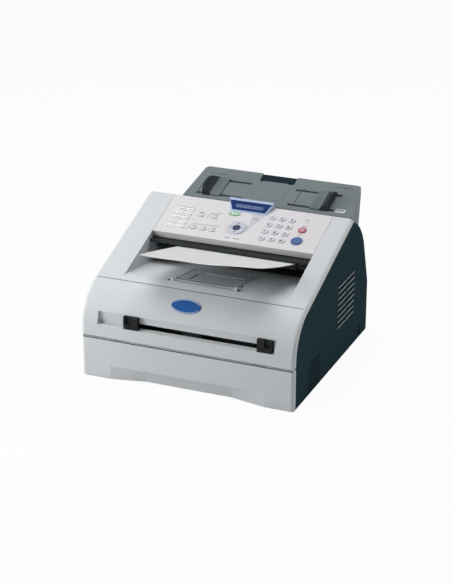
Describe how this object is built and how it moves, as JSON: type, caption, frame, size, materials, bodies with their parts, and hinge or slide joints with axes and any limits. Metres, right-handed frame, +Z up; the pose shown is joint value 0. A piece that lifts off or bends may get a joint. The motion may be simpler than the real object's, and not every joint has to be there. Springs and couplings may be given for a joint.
{
  "type": "fax machine",
  "caption": "Compact laser fax machine with paper cassette, sloping key panel with display, document tray and a page in its exit",
  "frame": {"origin": "on the floor under the middle of the bounding box, millimetre model with metres in the record", "axes": "+X to the right of a person facing the machine, +Y to the rear, +Z up; the front faces -Y"},
  "size_m": [0.374, 0.374, 0.2584],
  "materials": {
    "pale_plastic": "light grey moulded plastic, fine grain",
    "panel_plastic": "off-white moulded plastic, satin",
    "dark_plastic": "dark grey-green moulded plastic, fine grain",
    "tray_plastic": "dark grey moulded plastic, fine grain",
    "flap_plastic": "mid grey moulded plastic, satin",
    "black_plastic": "black moulded plastic",
    "key_grey": "grey key caps, satin",
    "key_white": "white key caps, satin",
    "key_green": "green key cap, satin",
    "key_red": "dull red key cap, satin",
    "key_blue": "blue key cap, satin",
    "bezel_blue": "pale blue display surround",
    "display_glass": "clear window over a navy display",
    "badge_blue": "blank blue badge plate",
    "steel": "bright steel",
    "roller_rubber": "black roller rubber",
    "foot_rubber": "black rubber",
    "board": "green circuit board",
    "paper": "plain white office paper"
  },
  "bodies": {
    "machine": {"base_frame": "dark_plastic", "left_side_cover": "dark_plastic", "right_side_cover": "dark_plastic", "rear_cover": "dark_plastic", "top_cover": "pale_plastic", "scanner_frame": "pale_plastic", "document_tray": "tray_plastic", "rear_sockets": "black_plastic", "laser_unit": "black_plastic", "main_board": "board", "scanner_bar": "black_plastic", "drum_unit": "black_plastic", "toner_cartridge": "black_plastic", "rubber_feet": "foot_rubber", "cover_screws": "steel"},
    "cassette": {"cassette_tray": "black_plastic", "cassette_front": "pale_plastic"},
    "lift_plate": {"pressure_plate": "steel"},
    "front_door": {"front_cover": "pale_plastic", "badge": "badge_blue"},
    "manual_left": {"manual_guide_left": "black_plastic"},
    "manual_right": {"manual_guide_right": "black_plastic"},
    "back_door": {"rear_door": "dark_plastic"},
    "panel": {"control_panel": "panel_plastic", "display_bezel": "bezel_blue", "display_window": "display_glass"},
    "document_left": {"document_guide_left": "tray_plastic"},
    "document_right": {"document_guide_right": "tray_plastic"},
    "extension": {"document_extension": "tray_plastic"},
    "flap": {"output_flap": "flap_plastic"},
    "rocker": {"power_switch": "black_plastic"},
    "heat": {"heat_roller": "steel"},
    "pressure": {"pressure_roller": "roller_rubber"},
    "exit": {"exit_roller": "roller_rubber"},
    "pickup": {"pickup_roller": "roller_rubber"},
    "feed": {"document_roller": "roller_rubber"},
    "page": {"printed_page": "paper"},
    "key_1_cap": {"key_1": "key_grey"},
    "key_2_cap": {"key_2": "key_grey"},
    "key_3_cap": {"key_3": "key_grey"},
    "key_4_cap": {"key_4": "key_grey"},
    "key_5_cap": {"key_5": "key_grey"},
    "key_6_cap": {"key_6": "key_grey"},
    "key_7_cap": {"key_7": "key_grey"},
    "key_8_cap": {"key_8": "key_grey"},
    "key_9_cap": {"key_9": "key_grey"},
    "key_star_cap": {"key_star": "key_grey"},
    "key_0_cap": {"key_0": "key_grey"},
    "key_hash_cap": {"key_hash": "key_grey"},
    "one_touch_keys_cap": {"one_touch_keys": "key_white"},
    "function_key_1_cap": {"function_key_1": "key_grey"},
    "function_key_2_cap": {"function_key_2": "key_grey"},
    "function_key_3_cap": {"function_key_3": "key_grey"},
    "function_key_4_cap": {"function_key_4": "key_grey"},
    "function_key_5_cap": {"function_key_5": "key_grey"},
    "mode_key_cap": {"mode_key": "key_green"},
    "navigation_ring_cap": {"navigation_ring": "key_grey"},
    "ok_key_cap": {"ok_key": "key_blue"},
    "stop_key_cap": {"stop_key": "key_red"},
    "start_key_cap": {"start_key": "key_blue"}
  },
  "joints": [
    {"name": "cassette_slide", "type": "slide", "parent": "machine", "child": "cassette", "axis": [0, -1, 0], "range_m": [0, 0.25]},
    {"name": "lift_plate_hinge", "type": "hinge", "parent": "cassette", "child": "lift_plate", "pos_m": [0, 0.06, 0.0128], "axis": [-1, 0, 0], "range_deg": [0, 9]},
    {"name": "front_cover_hinge", "type": "hinge", "parent": "machine", "child": "front_door", "pos_m": [0, -0.1822, 0.077], "axis": [1, 0, 0], "range_deg": [0, 85]},
    {"name": "manual_guide_left_slide", "type": "slide", "parent": "front_door", "child": "manual_left", "axis": [1, 0, 0], "range_m": [0, 0.06]},
    {"name": "manual_guide_right_slide", "type": "slide", "parent": "front_door", "child": "manual_right", "axis": [1, 0, 0], "range_m": [-0.06, 0]},
    {"name": "rear_door_hinge", "type": "hinge", "parent": "machine", "child": "back_door", "pos_m": [0, 0.16415, 0.10472], "axis": [-1, 0, 0], "range_deg": [0, 75]},
    {"name": "panel_hinge", "type": "hinge", "parent": "machine", "child": "panel", "pos_m": [0, 0.07893, 0.22918], "axis": [-1, 0, 0], "range_deg": [0, 45]},
    {"name": "document_guide_left_slide", "type": "slide", "parent": "machine", "child": "document_left", "axis": [1, 0, 0], "range_m": [0, 0.055]},
    {"name": "document_guide_right_slide", "type": "slide", "parent": "machine", "child": "document_right", "axis": [1, 0, 0], "range_m": [-0.055, 0]},
    {"name": "extension_slide", "type": "slide", "parent": "machine", "child": "extension", "axis": [0, 0.9608, 0.2773], "range_m": [0, 0.04]},
    {"name": "flap_hinge", "type": "hinge", "parent": "machine", "child": "flap", "pos_m": [0, -0.11054, 0.16303], "axis": [1, 0, 0], "range_deg": [0, 150], "deforming": ["printed_page"]},
    {"name": "power_switch_rock", "type": "hinge", "parent": "machine", "child": "rocker", "pos_m": [0.179, 0.132, 0.016], "axis": [0, 1, 0], "range_deg": [-10, 10]},
    {"name": "pressure_roller_spin", "type": "hinge", "parent": "machine", "child": "pressure", "pos_m": [0, 0.112, 0.1], "axis": [1, 0, 0], "continuous": true},
    {"name": "heat_roller_spin", "type": "hinge", "parent": "machine", "child": "heat", "pos_m": [0, 0.112, 0.1243], "axis": [1, 0, 0], "continuous": true},
    {"name": "exit_roller_spin", "type": "hinge", "parent": "machine", "child": "exit", "pos_m": [0, 0.0099, 0.16801], "axis": [1, 0, 0], "continuous": true},
    {"name": "pickup_roller_spin", "type": "hinge", "parent": "machine", "child": "pickup", "pos_m": [0, -0.14, 0.085], "axis": [1, 0, 0], "continuous": true},
    {"name": "document_roller_spin", "type": "hinge", "parent": "machine", "child": "feed", "pos_m": [0, 0.04936, 0.20206], "axis": [1, 0, 0], "continuous": true},
    {"name": "page_slide", "type": "slide", "parent": "machine", "child": "page", "axis": [0, -0.9659, 0.2588], "range_m": [0, 0.03]},
    {"name": "key_1_press", "type": "slide", "parent": "panel", "child": "key_1_cap", "axis": [0, 0.3387, -0.9409], "range_m": [0, 0.001], "stiffness_N_per_m": 500, "springref_m": -0.0006},
    {"name": "key_2_press", "type": "slide", "parent": "panel", "child": "key_2_cap", "axis": [0, 0.3387, -0.9409], "range_m": [0, 0.001], "stiffness_N_per_m": 500, "springref_m": -0.0006},
    {"name": "key_3_press", "type": "slide", "parent": "panel", "child": "key_3_cap", "axis": [0, 0.3387, -0.9409], "range_m": [0, 0.001], "stiffness_N_per_m": 500, "springref_m": -0.0006},
    {"name": "key_4_press", "type": "slide", "parent": "panel", "child": "key_4_cap", "axis": [0, 0.3387, -0.9409], "range_m": [0, 0.001], "stiffness_N_per_m": 500, "springref_m": -0.0006},
    {"name": "key_5_press", "type": "slide", "parent": "panel", "child": "key_5_cap", "axis": [0, 0.3387, -0.9409], "range_m": [0, 0.001], "stiffness_N_per_m": 500, "springref_m": -0.0006},
    {"name": "key_6_press", "type": "slide", "parent": "panel", "child": "key_6_cap", "axis": [0, 0.3387, -0.9409], "range_m": [0, 0.001], "stiffness_N_per_m": 500, "springref_m": -0.0006},
    {"name": "key_7_press", "type": "slide", "parent": "panel", "child": "key_7_cap", "axis": [0, 0.3387, -0.9409], "range_m": [0, 0.001], "stiffness_N_per_m": 500, "springref_m": -0.0006},
    {"name": "key_8_press", "type": "slide", "parent": "panel", "child": "key_8_cap", "axis": [0, 0.3387, -0.9409], "range_m": [0, 0.001], "stiffness_N_per_m": 500, "springref_m": -0.0006},
    {"name": "key_9_press", "type": "slide", "parent": "panel", "child": "key_9_cap", "axis": [0, 0.3387, -0.9409], "range_m": [0, 0.001], "stiffness_N_per_m": 500, "springref_m": -0.0006},
    {"name": "key_star_press", "type": "slide", "parent": "panel", "child": "key_star_cap", "axis": [0, 0.3387, -0.9409], "range_m": [0, 0.001], "stiffness_N_per_m": 500, "springref_m": -0.0006},
    {"name": "key_0_press", "type": "slide", "parent": "panel", "child": "key_0_cap", "axis": [0, 0.3387, -0.9409], "range_m": [0, 0.001], "stiffness_N_per_m": 500, "springref_m": -0.0006},
    {"name": "key_hash_press", "type": "slide", "parent": "panel", "child": "key_hash_cap", "axis": [0, 0.3387, -0.9409], "range_m": [0, 0.001], "stiffness_N_per_m": 500, "springref_m": -0.0006},
    {"name": "one_touch_keys_press", "type": "slide", "parent": "panel", "child": "one_touch_keys_cap", "axis": [0, 0.3387, -0.9409], "range_m": [0, 0.001], "stiffness_N_per_m": 500, "springref_m": -0.0006},
    {"name": "function_key_1_press", "type": "slide", "parent": "panel", "child": "function_key_1_cap", "axis": [0, 0.3387, -0.9409], "range_m": [0, 0.001], "stiffness_N_per_m": 500, "springref_m": -0.0006},
    {"name": "function_key_2_press", "type": "slide", "parent": "panel", "child": "function_key_2_cap", "axis": [0, 0.3387, -0.9409], "range_m": [0, 0.001], "stiffness_N_per_m": 500, "springref_m": -0.0006},
    {"name": "function_key_3_press", "type": "slide", "parent": "panel", "child": "function_key_3_cap", "axis": [0, 0.3387, -0.9409], "range_m": [0, 0.001], "stiffness_N_per_m": 500, "springref_m": -0.0006},
    {"name": "function_key_4_press", "type": "slide", "parent": "panel", "child": "function_key_4_cap", "axis": [0, 0.3387, -0.9409], "range_m": [0, 0.001], "stiffness_N_per_m": 500, "springref_m": -0.0006},
    {"name": "function_key_5_press", "type": "slide", "parent": "panel", "child": "function_key_5_cap", "axis": [0, 0.3387, -0.9409], "range_m": [0, 0.001], "stiffness_N_per_m": 500, "springref_m": -0.0006},
    {"name": "mode_key_press", "type": "slide", "parent": "panel", "child": "mode_key_cap", "axis": [0, 0.3387, -0.9409], "range_m": [0, 0.001], "stiffness_N_per_m": 500, "springref_m": -0.0006},
    {"name": "navigation_ring_press", "type": "slide", "parent": "panel", "child": "navigation_ring_cap", "axis": [0, 0.3387, -0.9409], "range_m": [0, 0.001], "stiffness_N_per_m": 500, "springref_m": -0.0006},
    {"name": "ok_key_press", "type": "slide", "parent": "panel", "child": "ok_key_cap", "axis": [0, 0.3387, -0.9409], "range_m": [0, 0.001], "stiffness_N_per_m": 500, "springref_m": -0.0006},
    {"name": "stop_key_press", "type": "slide", "parent": "panel", "child": "stop_key_cap", "axis": [0, 0.3387, -0.9409], "range_m": [0, 0.001], "stiffness_N_per_m": 500, "springref_m": -0.0006},
    {"name": "start_key_press", "type": "slide", "parent": "panel", "child": "start_key_cap", "axis": [0, 0.3387, -0.9409], "range_m": [0, 0.001], "stiffness_N_per_m": 500, "springref_m": -0.0006}
  ],
  "couplings": [
    {"joint": "manual_guide_right_slide", "follows": "manual_guide_left_slide", "ratio": -1},
    {"joint": "document_guide_right_slide", "follows": "document_guide_left_slide", "ratio": -1},
    {"joint": "heat_roller_spin", "follows": "pressure_roller_spin", "ratio": -1}
  ]
}
